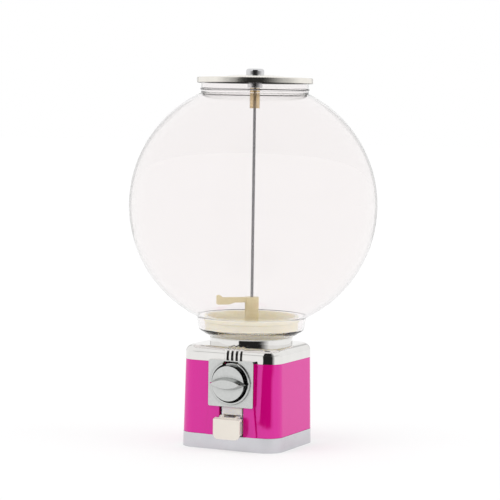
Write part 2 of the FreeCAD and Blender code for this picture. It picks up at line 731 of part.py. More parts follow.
# Hopper: moulded bowl that clamps the globe's foot and feeds the product wheel
hopper = new_body("hopper")
hopper_rim = "(hopper_seat + hopper_height)"
lip_radius = "(hopper_mouth_diameter / 2 + hopper_lip_width)"
lip_low = f"({hopper_rim} - hopper_lip_drop)"
bowl_low = "(foot_low + globe_wall)"
seat_edge = "(mouth_diameter / 2 + globe_wall / 3)"
foot_bend = "(foot_low + 0.6 * globe_wall)"
seat_slope = f"(({foot_bend} - hopper_seat) / (foot_low_radius - globe_wall - {seat_edge}))"
bowl_radius = f"({lip_radius} - hopper_lip_step)"
bowl_under = f"(hopper_seat + {seat_slope} * ({bowl_radius} - {seat_edge}) + 4 * loose_fit)"
profile = new_sketch(hopper, "XZ_Plane")
outline(profile, [
    ("hopper_throat - hopper_wall", "hopper_bottom"),
    ("hopper_throat", "hopper_bottom"),
    ("hopper_throat", "cover_ceiling"),
    ("hopper_neck", "collar_top - hopper_wall"),
    ("hopper_neck", "hopper_seat"),
    (seat_edge, "hopper_seat"),
    (bowl_radius, bowl_under),
    (bowl_radius, lip_low),
    (lip_radius, lip_low),
    (lip_radius, f"{hopper_rim} - hopper_lip_round", "hopper_lip_round", f"{lip_radius} - hopper_lip_round",
     f"{hopper_rim} - hopper_lip_round"),
    (f"{lip_radius} - hopper_lip_round", hopper_rim),
    ("hopper_mouth_diameter / 2 - hopper_wall", hopper_rim),
    ("hopper_mouth_diameter / 2 - hopper_wall", f"{bowl_low} + hopper_wall"),
    ("hopper_neck - hopper_wall", "hopper_seat + 0.4 * hopper_wall"),
    ("hopper_neck - hopper_wall", "collar_top - 0.4 * hopper_wall"),
    ("hopper_throat - hopper_wall", "cover_ceiling + 0.6 * hopper_wall"),
])
revolve(hopper, profile)

# Stripper shield: a sector over the exit that keeps all but the pocketed ball out
shield = new_body("stripper_shield")
shield_outer = "(hopper_throat - hopper_wall)"
section = new_sketch(shield, "XY_Plane", "hopper_bottom")
exit_angle = "(-atan(exit_forward / mech_offset) / (1 deg))"
low_angle = f"({exit_angle} - shield_half_angle)"
high_angle = f"({exit_angle} + shield_half_angle)"
outline(section, [
    (f"shield_inner_radius * cos({low_angle})", f"shield_inner_radius * sin({low_angle})"),
    (f"{shield_outer} * cos({low_angle})", f"{shield_outer} * sin({low_angle})", shield_outer, "0", "0"),
    (f"{shield_outer} * cos({high_angle})", f"{shield_outer} * sin({high_angle})"),
    (f"shield_inner_radius * cos({high_angle})", f"shield_inner_radius * sin({high_angle})",
     "shield_inner_radius", "0", "0"),
])
extrude(shield, section, "shield_thickness")

# Centre rod, its nut on the base boss and the nylon sleeve below the lock
rod = doc.addObject("Part::Cylinder", "center_rod")
rod.Label = "center_rod"
rod.setExpression("Radius", text("rod_radius"))
rod.setExpression("Height", text("rod_top - rod_start"))
place(rod, z="rod_start")
pieces.append(rod)
hex_nut("rod_nut", "rod_nut_across", "rod_radius + run_fit", "base_floor + rod_boss_height", "rod_nut_height")
tube("rod_sleeve", "sleeve_diameter / 2", "rod_radius + run_fit",
     "barrel_bottom - loose_fit - sleeve_length", "sleeve_length")

# Lid: spun sheet with a turned-down skirt and a low dome round the lock hole
lid = new_body("lid")
lid_radius = "(lid_diameter / 2)"
skirt_low = "(lid_flat - lid_skirt)"
hole = "(lock_barrel_diameter / 2 + slip_fit)"
flange = "(lock_nut_across / 2 / cos(30) + loose_fit)"
dome_reach = f"(lid_dome_diameter / 2 - {flange})"
dome_radius = f"(({dome_reach} ^ 2 + lid_dome_rise ^ 2) / (2 * lid_dome_rise))"
dome_centre = f"(dome_top - {dome_radius})"
under_radius = f"({dome_radius} - lid_sheet)"
under_reach = f"({flange} + sqrt({under_radius} ^ 2 - ({under_radius} - lid_dome_rise) ^ 2))"
profile = new_sketch(lid, "XZ_Plane")
outline(profile, [
    (hole, "dome_top - lid_sheet"),
    (flange, "dome_top - lid_sheet", under_radius, flange, dome_centre),
    (under_reach, "lid_under"),
    (f"{lid_radius} - lid_sheet", "lid_under"),
    (f"{lid_radius} - lid_sheet", skirt_low),
    (lid_radius, skirt_low),
    (lid_radius, "lid_flat - lid_round", "lid_round", f"{lid_radius} - lid_round", "lid_flat - lid_round"),
    (f"{lid_radius} - lid_round", "lid_flat"),
    ("lid_dome_diameter / 2", "lid_flat", dome_radius, flange, dome_centre),
    (flange, "dome_top"),
    (hole, "dome_top"),
])
revolve(lid, profile)

# Rubber ring in the lid, seated on the globe's rim
tube("lid_gasket", "globe_rim_diameter / 2", "neck_inside", "globe_top", "lid_gasket")

# Lock: capped barrel through the lid, bored for the rod below and for the key plug above
lock = new_body("lock_housing")
profile = new_sketch(lock, "XZ_Plane")
rod_bore = "(rod_radius + slip_fit)"
plug_bore = "(lock_plug_diameter / 2 + run_fit)"
plug_floor = "(cap_top - lock_plug_length - loose_fit)"
bore_top = "(rod_top + loose_fit)"
outline(profile, [
    ("0", bore_top),
    (rod_bore, bore_top),
    (rod_bore, "barrel_bottom"),
    ("lock_barrel_diameter / 2", "barrel_bottom"),
    ("lock_barrel_diameter / 2", "dome_top"),
    ("lock_cap_diameter / 2", "dome_top"),
    ("lock_cap_diameter / 2", "cap_top - lock_cap_round", "lock_cap_round",
     "lock_cap_diameter / 2 - lock_cap_round", "cap_top - lock_cap_round"),
    ("lock_cap_diameter / 2 - lock_cap_round", "cap_top"),
    (plug_bore, "cap_top"),
    (plug_bore, plug_floor),
    ("0", plug_floor),
])
revolve(lock, profile)
plug = new_body("lock_plug")
section = new_sketch(plug, "XY_Plane", "cap_top - lock_plug_length")
circle(section, "0", "0", "lock_plug_diameter / 2")
extrude(plug, section, "lock_plug_length")
section = new_sketch(plug, "XY_Plane", "cap_top")
outline(section, [
    ("-key_slot_length / 2", "-key_slot_width / 2"),
    ("key_slot_length / 2", "-key_slot_width / 2"),
    ("key_slot_length / 2", "key_slot_width / 2"),
    ("-key_slot_length / 2", "key_slot_width / 2"),
])
extrude(plug, section, "key_slot_depth", "Pocket")
hex_nut("lock_nut", "lock_nut_across", "lock_barrel_diameter / 2 + run_fit",
        "dome_top - lid_sheet - lock_nut_height", "lock_nut_height")

# Product wheel: six ball pockets, a hexagonal key for the agitator and crown teeth underneath
wheel = new_body("product_wheel")
section = new_sketch(wheel, "XY_Plane", "wheel_bottom")
circle(section, "0", "0", "wheel_radius")
extrude(wheel, section, "wheel_depth")
section = new_sketch(wheel, "XY_Plane", "wheel_top")
hexagon(section, "wheel_key_across", "agitator_bearing")
extrude(wheel, section, "wheel_key_height")
section = new_sketch(wheel, "XY_Plane", "wheel_top + wheel_key_height")
circle(section, "0", "0", "rod_radius + run_fit")
extrude(wheel, section, "wheel_depth + wheel_key_height", "Pocket")
section = new_sketch(wheel, "XY_Plane", "wheel_top")
half_step = "(180 / pocket_count)"
circle(section, f"pocket_radius * cos({exit_angle} + {half_step})",
       f"pocket_radius * sin({exit_angle} + {half_step})", "ball_pocket_diameter / 2")
ball_pocket = extrude(wheel, section, "wheel_depth", "Pocket")
repeat_round(wheel, [ball_pocket], "pocket_count")
half_tooth = "(tooth_share * tooth_pitch / 2)"
tip_half = f"({half_tooth} - tooth_addendum * tan(tooth_flank))"
root_half = f"({half_tooth} + tooth_dedendum * tan(tooth_flank))"
section = new_sketch(wheel, "XZ_Plane", "crown_mean_radius + crown_face / 2")
outline(section, [
    (f"mech_offset - {tip_half}", "pitch_plane - tooth_addendum"),
    (f"mech_offset + {tip_half}", "pitch_plane - tooth_addendum"),
    (f"mech_offset + {root_half}", "wheel_bottom"),
    (f"mech_offset + {root_half}", "wheel_bottom + tooth_addendum"),
    (f"mech_offset - {root_half}", "wheel_bottom + tooth_addendum"),
    (f"mech_offset - {root_half}", "wheel_bottom"),
])
crown_tooth = extrude(wheel, section, "crown_face", reverse=True)
repeat_round(wheel, [crown_tooth], "crown_teeth")

# Agitator: moulded tube round the rod, keyed on the wheel, with one stirring arm and its knob
agitator = new_body("agitator")
section = new_sketch(agitator, "XY_Plane", "wheel_top")
circle(section, "0", "0", "agitator_diameter / 2")
extrude(agitator, section, "agitator_top - wheel_top")
arm_low = "(agitator_top - arm_depth)"
section = new_sketch(agitator, "XZ_Plane")
outline(section, [
    ("0", arm_low),
    ("0", "agitator_top"),
    ("-agitator_reach + arm_knob_length", "agitator_top"),
    ("-agitator_reach + arm_knob_length / 2", "agitator_top + arm_knob_rise"),
    ("-agitator_reach", "agitator_top + arm_knob_rise"),
    ("-agitator_reach", f"{arm_low} - arm_knob_drop"),
    ("-agitator_reach + 2 * arm_knob_length", f"{arm_low} - arm_knob_drop"),
    ("-agitator_reach + 3 * arm_knob_length", arm_low),
])
extrude(agitator, section, "arm_thickness", symmetric=True)
arm_end = number("agitator_reach") - number("arm_knob_length")


def arm_edge(edge):
    """The long edges of the arm's outer end."""
    return edge.BoundBox.XMax < -arm_end + 0.01 and edge.BoundBox.XMin < -number("agitator_reach") + 0.01


round_edges(agitator, "arm_thickness / 4", arm_edge)
section = new_sketch(agitator, "XY_Plane", "agitator_top")
circle(section, "0", "0", "rod_radius + slip_fit")
extrude(agitator, section, "agitator_top - wheel_top", "Pocket")
section = new_sketch(agitator, "XY_Plane", "wheel_top")
hexagon(section, "(wheel_key_across + 2 * slip_fit)")
extrude(agitator, section, "wheel_key_height + loose_fit", "Pocket", reverse=True)
place(agitator, angle=number("agitator_bearing"))

# Wheel housing: cup under the wheel with a groove for the crown, exit spout, pinion slot and ears
housing = new_body("wheel_housing")
profile = new_sketch(housing, "XZ_Plane")
outline(profile, [
    ("rod_radius + slip_fit", "floor_bottom"),
    ("groove_inner - loose_fit - housing_groove_floor", "floor_bottom"),
    ("groove_inner - loose_fit - housing_groove_floor", "groove_bottom"),
    ("housing_outer", "groove_bottom"),
    ("housing_outer", "housing_top"),
    ("housing_inner", "housing_top"),
    ("housing_inner", "groove_top"),
    ("groove_inner - loose_fit", "groove_top"),
    ("groove_inner - loose_fit", "floor_top"),
    ("rod_radius + slip_fit", "floor_top"),
])
revolve(housing, profile)
section = new_sketch(housing, "XY_Plane", "groove_bottom")
circle(section, "mech_offset", "-exit_forward", "exit_diameter / 2 + exit_wall")
extrude(housing, section, "floor_bottom - groove_bottom + housing_floor / 2")
section = new_sketch(housing, "XY_Plane", "floor_top")
circle(section, "mech_offset", "-exit_forward", "exit_diameter / 2")
extrude(housing, section, "floor_top - groove_bottom", "Pocket")
section = new_sketch(housing, "XY_Plane", "groove_bottom")
pinion_room = "(pinion_pitch + tooth_addendum + 4 * loose_fit)"
outline(section, [
    (f"mech_offset - {pinion_room}", "-crown_mean_radius - gear_face / 2 - 4 * loose_fit"),
    (f"mech_offset + {pinion_room}", "-crown_mean_radius - gear_face / 2 - 4 * loose_fit"),
    (f"mech_offset + {pinion_room}", "-pinion_back + 2 * loose_fit"),
    (f"mech_offset - {pinion_room}", "-pinion_back + 2 * loose_fit"),
])
extrude(housing, section, "groove_top - groove_bottom", "Pocket", reverse=True)
section = new_sketch(housing, "XY_Plane", "hopper_bottom")
circle(section, ear_x, ear_x, "housing_ear_radius")
circle(section, ear_x, ear_x, "housing_screw_diameter / 2 + slip_fit")
ear = extrude(housing, section, "housing_ear_height")
repeat_round(housing, [ear], "4")

# Four pan-head screws that hang the housing from the cover's bosses
screws = new_body("housing_screws")
screws.AllowCompound = True
section = new_sketch(screws, "XY_Plane", "hopper_bottom")
circle(section, ear_x, ear_x, "housing_screw_head / 2")
head = extrude(screws, section, "housing_screw_head_height", reverse=True)
section = new_sketch(screws, "XY_Plane", "hopper_bottom")
circle(section, ear_x, ear_x, "housing_screw_diameter / 2")
shank = extrude(screws, section, "housing_ear_height + housing_screw_reach")
repeat_round(screws, [head, shank], "4")

# Chute: moulded duct from the exit spout, under the mechanism, to the mouth behind the flap
chute = new_body("chute")
duct_front = "(exit_forward + exit_diameter / 2 + exit_wall)"
floor_fall = "((chute_floor_back - chute_floor_front) / (chute_front - chute_back))"
section = new_sketch(chute, "YZ_Plane", "mech_offset")
outline(section, [
    ("-chute_back", "groove_bottom"),
    ("-chute_back", "chute_floor_back - chute_floor_wall"),
    ("-chute_front", "chute_floor_front - chute_floor_wall"),
    ("-chute_front", "plate_bottom - 4 * loose_fit"),
    ("-chute_front + chute_lintel", "plate_bottom - 4 * loose_fit"),
    ("-chute_front + chute_lintel", "chute_mouth_top + chute_wall"),
    (f"-{duct_front} - chute_roof_reach", "chute_roof"),
    (f"-{duct_front}", "chute_roof"),
    (f"-{duct_front}", "groove_bottom"),
])
extrude(chute, section, "chute_width", symmetric=True)
ear_radius = "(flap_knuckle_diameter / 2)"
section = new_sketch(chute, "YZ_Plane", "mech_offset")
outline(section, [
    ("-flap_pin_forward", f"flap_pin_height + {ear_radius}", ear_radius, "-flap_pin_forward", "flap_pin_height"),
    (f"-flap_pin_forward - {ear_radius}", "flap_pin_height", ear_radius, "-flap_pin_forward",
     "flap_pin_height"),
    ("-flap_pin_forward", f"flap_pin_height - {ear_radius}"),
    ("-chute_front + chute_wall", f"flap_pin_height - {ear_radius}"),
    ("-chute_front + chute_wall", f"flap_pin_height + {ear_radius}"),
])
extrude(chute, section, "chute_width", symmetric=True)
section = new_sketch(chute, "YZ_Plane", "mech_offset")
outline(section, [
    ("-chute_back - chute_wall", "groove_bottom + chute_wall"),
    ("-chute_back - chute_wall", f"chute_floor_back - {floor_fall} * chute_wall"),
    (f"-flap_pin_forward - 2 * {ear_radius}",
     f"chute_floor_front - {floor_fall} * (flap_pin_forward + 2 * {ear_radius} - chute_front)"),
    (f"-flap_pin_forward - 2 * {ear_radius}", "chute_mouth_top"),
    ("-chute_front + chute_lintel / 2", "chute_mouth_top"),
    (f"-{duct_front} - chute_roof_reach", "chute_roof - chute_wall"),
    (f"-{duct_front} + chute_wall", "chute_roof - chute_wall"),
    (f"-{duct_front} + chute_wall", "groove_bottom + chute_wall"),
])
extrude(chute, section, "chute_width - 2 * chute_wall", "Pocket", symmetric=True)
section = new_sketch(chute, "YZ_Plane", "mech_offset")
circle(section, "-flap_pin_forward", "flap_pin_height", "flap_pin_diameter / 2")
extrude(chute, section, "2 * chute_width", "Pocket", symmetric=True)

# Hinge pin of the flap, through both chute ears
pin = doc.addObject("Part::Cylinder", "flap_pin")
pin.Label = "flap_pin"
pin.setExpression("Radius", text("flap_pin_diameter / 2"))
pin.setExpression("Height", text("chute_width + 2 * chute_wall"))
place(pin, "mech_offset - chute_width / 2 - chute_wall", "-flap_pin_forward", "flap_pin_height",
      Vector(0, 1, 0), 90)
pieces.append(pin)

# Chute flap: moulded door with a lip back to its knuckle
flap = new_body("chute_flap")
lip_width = "(chute_width - 2 * chute_wall - 2 * loose_fit)"
wide_from = "(flap_pin_forward + flap_knuckle_diameter)"
lip_top = "(flap_pin_height + flap_knuckle_diameter / 4)"
lip_front = "(flap_pin_height - flap_knuckle_diameter / 4)"
lip_fall = f"(({lip_top} - {lip_front}) / flap_stand_off)"
section = new_sketch(flap, "YZ_Plane", "mech_offset")
outline(section, [
    ("-flap_pin_forward", lip_top),
    ("-flap_pin_forward", f"{lip_top} - flap_thickness"),
    (f"-{wide_from} - flap_thickness", f"{lip_top} - flap_thickness - {lip_fall} * flap_thickness"),
    (f"-{wide_from} - flap_thickness", f"{lip_top} - {lip_fall} * flap_thickness"),
])
extrude(flap, section, lip_width, symmetric=True)
section = new_sketch(flap, "YZ_Plane", "mech_offset")
wide_top = f"({lip_top} - {lip_fall} * ({wide_from} - flap_pin_forward))"
outline(section, [
    (f"-{wide_from}", wide_top),
    (f"-{wide_from}", f"{wide_top} - flap_thickness"),
    ("-flap_front + flap_thickness", f"{lip_front} - flap_thickness"),
    ("-flap_front + flap_thickness", "flap_low"),
    ("-flap_front", "flap_low"),
    ("-flap_front", lip_front),
])
extrude(flap, section, "flap_width", symmetric=True)
flap_ends = [number("mech_offset - flap_width / 2"), number("mech_offset + flap_width / 2")]


def flap_corner(edge):
    """The two short edges at the door's lower corners."""
    low = edge.BoundBox.ZMax < number("flap_low") + 0.01
    return low and min(abs(edge.CenterOfMass.x - end) for end in flap_ends) < 0.01


round_edges(flap, "flap_corner", flap_corner)
section = new_sketch(flap, "YZ_Plane", "mech_offset")
circle(section, "-flap_pin_forward", "flap_pin_height", "flap_knuckle_diameter / 2")
extrude(flap, section, lip_width, symmetric=True)
section = new_sketch(flap, "XY_Plane", "flap_pin_height + flap_knuckle_diameter")
arm_gap = f"({lip_width} / 2 - flap_arm_width)"
rounded_rectangle(section, f"(mech_offset - {arm_gap})", f"(mech_offset + {arm_gap})", f"-{wide_from}",
                  "(-flap_pin_forward + flap_knuckle_diameter)", "loose_fit")
extrude(flap, section, "2 * flap_knuckle_diameter", "Pocket")
section = new_sketch(flap, "YZ_Plane", "mech_offset")
circle(section, "-flap_pin_forward", "flap_pin_height", "flap_pin_diameter / 2 + run_fit")
extrude(flap, section, "flap_width", "Pocket", symmetric=True)

# Mechanism face plate, drawn from the front about the shaft: square plate with a coned bezel
plate = new_body("mech_plate")
section = new_sketch(plate, "XY_Plane", "panel_front")
rounded_rectangle(section, "-plate_width / 2", "plate_width / 2", "(-plate_height / 2 - plate_drop)",
                  "(plate_height / 2 - plate_drop)", "plate_corner")
extrude(plate, section, "plate_thickness")
section = new_sketch(plate, "XY_Plane", "plate_front")
circle(section, "0", "0", "bezel_diameter / 2")
extrude(plate, section, "bezel_rise", taper="-bezel_taper")
dial_bore = "(dial_diameter / 2 + loose_fit)"
cone_half = "((bezel_diameter / 2 - bezel_rise * tan(bezel_taper) - dial_diameter / 2) / 2)"
profile = new_sketch(plate, "XZ_Plane")
outline(profile, [
    ("0", "panel_front"),
    (dial_bore, "panel_front"),
    (dial_bore, "plate_front"),
    (f"{dial_bore} + {cone_half}", "plate_front + bezel_rise"),
    ("0", "plate_front + bezel_rise"),
])
groove = plate.newObject("PartDesign::Groove", "mech_plate_groove")
groove.Profile = profile
groove.ReferenceAxis = (profile, ["V_Axis"])
groove.Angle = 360
plate.Tip = groove
doc.recompute()
section = new_sketch(plate, "XY_Plane", "plate_front + bezel_rise")
outline(section, [
    ("-coin_diameter / 2", "dial_diameter / 3"),
    ("coin_diameter / 2", "dial_diameter / 3"),
    ("coin_diameter / 2", "dial_diameter / 2 + coin_slot_height"),
    ("-coin_diameter / 2", "dial_diameter / 2 + coin_slot_height"),
])
extrude(plate, section, "plate_thickness + bezel_rise", "Pocket")
section = new_sketch(plate, "XY_Plane", "plate_front + bezel_rise")
track = f"({dial_bore} + coin_track_width)"
inner_track = f"({dial_bore} - coin_track_width)"
outline(section, [
    (f"{inner_track} * cos(coin_track_end)", f"{inner_track} * sin(coin_track_end)"),
    (f"{track} * cos(coin_track_end)", f"{track} * sin(coin_track_end)", track, "0", "0"),
    (f"{track} * cos(coin_track_start)", f"{track} * sin(coin_track_start)"),
    (f"{inner_track} * cos(coin_track_start)", f"{inner_track} * sin(coin_track_start)",
     inner_track, "0", "0"),
])
extrude(plate, section, "plate_thickness / 2 + bezel_rise", "Pocket")
face_forward(plate)

# Mechanism can and its back plate, with the opening that drops the coin beside the chute
can = new_body("mech_housing")
section = new_sketch(can, "XY_Plane", "can_back")
circle(section, "0", "0", "can_diameter / 2")
circle(section, "0", "0", "can_inside")
extrude(can, section, "can_depth")
section = new_sketch(can, "XY_Plane", "coin_wheel_back")
outline(section, [
    ("can_diameter * cos(coin_drop_angle - coin_drop_half_angle)",
     "can_diameter * sin(coin_drop_angle - coin_drop_half_angle)"),
    ("can_diameter * cos(coin_drop_angle + coin_drop_half_angle)",
     "can_diameter * sin(coin_drop_angle + coin_drop_half_angle)"),
    ("can_inside / 2 * cos(coin_drop_angle)", "can_inside / 2 * sin(coin_drop_angle)"),
])
extrude(can, section, "coin_wheel_thickness / 2", "Pocket", reverse=True)
face_forward(can)
back = new_body("mech_back_plate")
section = new_sketch(back, "XY_Plane", "back_plate_back")
circle(section, "0", "0", "can_diameter / 2")
circle(section, "0", "0", "bushing_diameter / 2")
extrude(back, section, "back_plate")
face_forward(back)
bushing = new_body("shaft_bushing")
section = new_sketch(bushing, "XY_Plane", "back_plate_back - loose_fit")
circle(section, "0", "0", "bushing_diameter / 2")
circle(section, "0", "0", "shaft_diameter / 2 + run_fit")
extrude(bushing, section, "bushing_length")
face_forward(bushing)

# Handle shaft with its retaining ring
shaft = new_body("drive_shaft")
section = new_sketch(shaft, "XY_Plane", "pinion_back")
circle(section, "0", "0", "shaft_diameter / 2")
extrude(shaft, section, "dial_front - pinion_back")
face_forward(shaft)
ring = new_body("retaining_collar")
section = new_sketch(ring, "XY_Plane", "back_plate_back - 2 * loose_fit - collar_ring_width")
circle(section, "0", "0", "collar_ring_diameter / 2")
circle(section, "0", "0", "shaft_diameter / 2")
extrude(ring, section, "collar_ring_width")
face_forward(ring)

# Dial: tapered disc with the coin slot cut down from its rim behind the front lip
dial = new_body("dial")
section = new_sketch(dial, "XY_Plane", "plate_front - dial_sink")
circle(section, "0", "0", "dial_diameter / 2")
extrude(dial, section, "dial_rise + dial_sink", taper="-atan(dial_taper / (dial_rise + dial_sink))")
section = new_sketch(dial, "XY_Plane", "dial_front")
circle(section, "0", "0", "shaft_diameter / 2")
extrude(dial, section, "dial_rise + dial_sink", "Pocket")
section = new_sketch(dial, "XY_Plane", "dial_front - coin_lip")
outline(section, [
    ("-coin_diameter / 2", "shaft_diameter"),
    ("coin_diameter / 2", "shaft_diameter"),
    ("coin_diameter / 2", "dial_diameter"),
    ("-coin_diameter / 2", "dial_diameter"),
])
extrude(dial, section, "coin_slot", "Pocket")
face_forward(dial)

# Wing handle: a lens-shaped bar, cut from two crossing discs, that sits on the dial
wing_radius = "((handle_length / 2) ^ 2 / handle_width + handle_width / 4)"
wing_shift = f"({wing_radius} - handle_width / 2)"
handle = new_body("handle")
section = new_sketch(handle, "XY_Plane", "dial_front")
outline(section, [
    ("-handle_length / 2", "0", wing_radius, "0", wing_shift),
    ("0", "-handle_width / 2", wing_radius, "0", wing_shift),
    ("handle_length / 2", "0", wing_radius, "0", f"-{wing_shift}"),
    ("0", "handle_width / 2", wing_radius, "0", f"-{wing_shift}"),
])
extrude(handle, section, "handle_depth", taper="-handle_taper")
face_forward(handle)

# Coin wheel with the notch that carries the coin round
coin_wheel = new_body("coin_wheel")
section = new_sketch(coin_wheel, "XY_Plane", "coin_wheel_back")
circle(section, "0", "0", "can_inside - 2 * loose_fit")
circle(section, "0", "0", "shaft_diameter / 2")
extrude(coin_wheel, section, "plate_front - dial_sink - coin_wheel_back")
section = new_sketch(coin_wheel, "XY_Plane", "plate_front - dial_sink")
circle(section, "0", "can_inside - coin_diameter / 4", "coin_diameter / 2")
extrude(coin_wheel, section, "coin_slot", "Pocket")
face_forward(coin_wheel)

# Ratchet wheel: saw teeth that let the handle turn clockwise only
ratchet = new_body("ratchet_wheel")
ratchet_back = "(ratchet_front - ratchet_thickness)"
root = "(ratchet_root_diameter / 2)"
tip = "(ratchet_tip_diameter / 2)"
step = "(360 / ratchet_teeth)"
section = new_sketch(ratchet, "XY_Plane", ratchet_back)
circle(section, "0", "0", root)
circle(section, "0", "0", "shaft_diameter / 2")
extrude(ratchet, section, "ratchet_thickness")
section = new_sketch(ratchet, "XY_Plane", ratchet_back)
steep = "(pawl_nose_angle - ratchet_lead)"
inner = f"({root} - tooth_addendum / 2)"
outline(section, [
    (f"{inner} * cos({steep} - ratchet_tooth_share * {step})", f"{inner} * sin({steep} - ratchet_tooth_share * {step})"),
    (f"{inner} * cos({steep})", f"{inner} * sin({steep})"),
    (f"{tip} * cos({steep} - ratchet_rake)", f"{tip} * sin({steep} - ratchet_rake)"),
])
saw_tooth = extrude(ratchet, section, "ratchet_thickness")
repeat_round(ratchet, [saw_tooth], "ratchet_teeth")
face_forward(ratchet)

# Pawl, its pin on the back plate and the leaf spring that presses it down
pivot_x = "(pawl_pivot_radius * cos(pawl_pivot_angle))"
pivot_y = "(pawl_pivot_radius * sin(pawl_pivot_angle))"
nose = f"({tip} + loose_fit)"
pawl = new_body("ratchet_pawl")
section = new_sketch(pawl, "XY_Plane", ratchet_back)
pawl_back = f"({nose} + pawl_depth)"
arch = f"({nose} + pawl_arch - loose_fit)"
far = "((pawl_nose_angle + pawl_pivot_angle) / 2)"
near = "(pawl_nose_angle + pawl_hook)"
outline(section, [
    (f"{nose} * cos(pawl_nose_angle)", f"{nose} * sin(pawl_nose_angle)"),
    (f"{pawl_back} * cos(pawl_nose_angle)", f"{pawl_back} * sin(pawl_nose_angle)"),
    (f"({pawl_back} + loose_fit) * cos({far})", f"({pawl_back} + loose_fit) * sin({far})"),
    (f"{pivot_x} + pawl_eye_diameter / 6", f"{pivot_y} + pawl_eye_diameter / 3"),
    (f"{pivot_x} + pawl_eye_diameter / 6", f"{pivot_y} - pawl_eye_diameter / 4"),
    (f"{arch} * cos({far})", f"{arch} * sin({far})"),
    (f"{arch} * cos({near})", f"{arch} * sin({near})"),
])
extrude(pawl, section, "ratchet_thickness")
section = new_sketch(pawl, "XY_Plane", ratchet_back)
circle(section, pivot_x, pivot_y, "pawl_eye_diameter / 2")
extrude(pawl, section, "ratchet_thickness")
section = new_sketch(pawl, "XY_Plane", "ratchet_front")
circle(section, pivot_x, pivot_y, "pawl_pin_diameter / 2 + run_fit")
extrude(pawl, section, "ratchet_thickness", "Pocket")
face_forward(pawl)
pawl_pin = new_body("pawl_pin")
section = new_sketch(pawl_pin, "XY_Plane", "can_back")
circle(section, pivot_x, pivot_y, "pawl_pin_diameter / 2")
extrude(pawl_pin, section, "ratchet_front - can_back")
face_forward(pawl_pin)
spring = new_body("pawl_spring")
spring_low = f"({pawl_back} + loose_fit)"
spring_end = "(pawl_nose_angle - pawl_spring_reach)"
section = new_sketch(spring, "XY_Plane", ratchet_back)
outline(section, [
    (f"{spring_low} * cos(pawl_nose_angle)", f"{spring_low} * sin(pawl_nose_angle)"),
    (f"({spring_low} + pawl_spring_sheet) * cos(pawl_nose_angle)",
     f"({spring_low} + pawl_spring_sheet) * sin(pawl_nose_angle)"),
    (f"can_inside * cos({spring_end})", f"can_inside * sin({spring_end})"),
    (f"can_inside * cos({spring_end} - pawl_spring_foot)", f"can_inside * sin({spring_end} - pawl_spring_foot)"),
])
extrude(spring, section, "ratchet_thickness")
face_forward(spring)

# Drive pinion on the rear of the shaft, with a gap between teeth at the top
pinion = new_body("drive_pinion")
pinion_root = "(pinion_pitch - tooth_dedendum)"
pinion_tip = "(pinion_pitch + tooth_addendum)"
section = new_sketch(pinion, "XY_Plane", "pinion_back")
circle(section, "0", "0", pinion_root)
circle(section, "0", "0", "shaft_diameter / 2")
extrude(pinion, section, "gear_face")
section = new_sketch(pinion, "XY_Plane", "pinion_back")
outline(section, [
    (f"-{root_half}", f"{pinion_root} - tooth_addendum"),
    (f"{root_half}", f"{pinion_root} - tooth_addendum"),
    (f"{half_tooth}", "pinion_pitch"),
    (f"{tip_half}", pinion_tip),
    (f"-{tip_half}", pinion_tip),
    (f"-{half_tooth}", "pinion_pitch"),
])
pinion_tooth = extrude(pinion, section, "gear_face")
repeat_round(pinion, [pinion_tooth], "pinion_teeth")
face_forward(pinion, 180 / number("pinion_teeth"))

doc.recompute()
for item in doc.Objects:
    if {"Invalid", "Error"} & set(item.State):
        raise RuntimeError(item.Label + ": " + ", ".join(item.State))
os.makedirs("parts", exist_ok=True)
for piece in pieces:
    shape = piece.Shape
    if shape.isNull() or not shape.isValid():
        raise RuntimeError(piece.Label + ": no valid shape")
    if len(shape.Solids) != (4 if piece is screws else 1):
        raise RuntimeError(f"{piece.Label}: {len(shape.Solids)} solids")
    shape.exportStep(os.path.join("parts", piece.Label + ".step"))
    print(f"{piece.Label}: {len(shape.Solids)} solid, {shape.Volume:.0f} cubic mm")
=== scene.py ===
"""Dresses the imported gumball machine: finishes, lights, floor and camera."""
import json
import math
import bmesh
import bpy
from mathutils import Matrix, Vector


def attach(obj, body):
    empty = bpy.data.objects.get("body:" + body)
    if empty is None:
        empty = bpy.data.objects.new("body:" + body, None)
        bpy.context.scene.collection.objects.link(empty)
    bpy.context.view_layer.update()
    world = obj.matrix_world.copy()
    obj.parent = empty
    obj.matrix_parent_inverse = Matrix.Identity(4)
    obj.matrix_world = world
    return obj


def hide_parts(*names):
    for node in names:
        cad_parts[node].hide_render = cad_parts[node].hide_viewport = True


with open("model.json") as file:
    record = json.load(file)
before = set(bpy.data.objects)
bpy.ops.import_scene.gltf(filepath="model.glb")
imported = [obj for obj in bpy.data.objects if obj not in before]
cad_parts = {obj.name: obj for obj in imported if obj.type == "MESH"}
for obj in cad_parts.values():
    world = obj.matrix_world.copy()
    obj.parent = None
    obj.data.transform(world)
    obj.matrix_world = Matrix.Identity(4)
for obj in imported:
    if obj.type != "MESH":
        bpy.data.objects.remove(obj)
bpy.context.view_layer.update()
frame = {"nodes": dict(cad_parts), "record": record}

# Studio room: an even white that lights the object a little less than it shows.
# What the camera, the gloss and the clear globe see of it is plain white.
bpy.context.scene.view_settings.view_transform = "Standard"
WHITE = (1.0, 1.0, 1.0, 1.0)
ROOM_LIGHT = 0.88
ROOM_WHITE = 1.0
room = bpy.data.worlds.new("white_room")
bpy.context.scene.world = room
room.use_nodes = True
room_nodes = room.node_tree.nodes
room_links = room.node_tree.links
lit = room_nodes["Background"]
lit.inputs["Color"].default_value = WHITE
lit.inputs["Strength"].default_value = ROOM_LIGHT
seen = room_nodes.new("ShaderNodeBackground")
seen.inputs["Color"].default_value = WHITE
seen.inputs["Strength"].default_value = ROOM_WHITE
path = room_nodes.new("ShaderNodeLightPath")
camera_or_gloss = room_nodes.new("ShaderNodeMath")
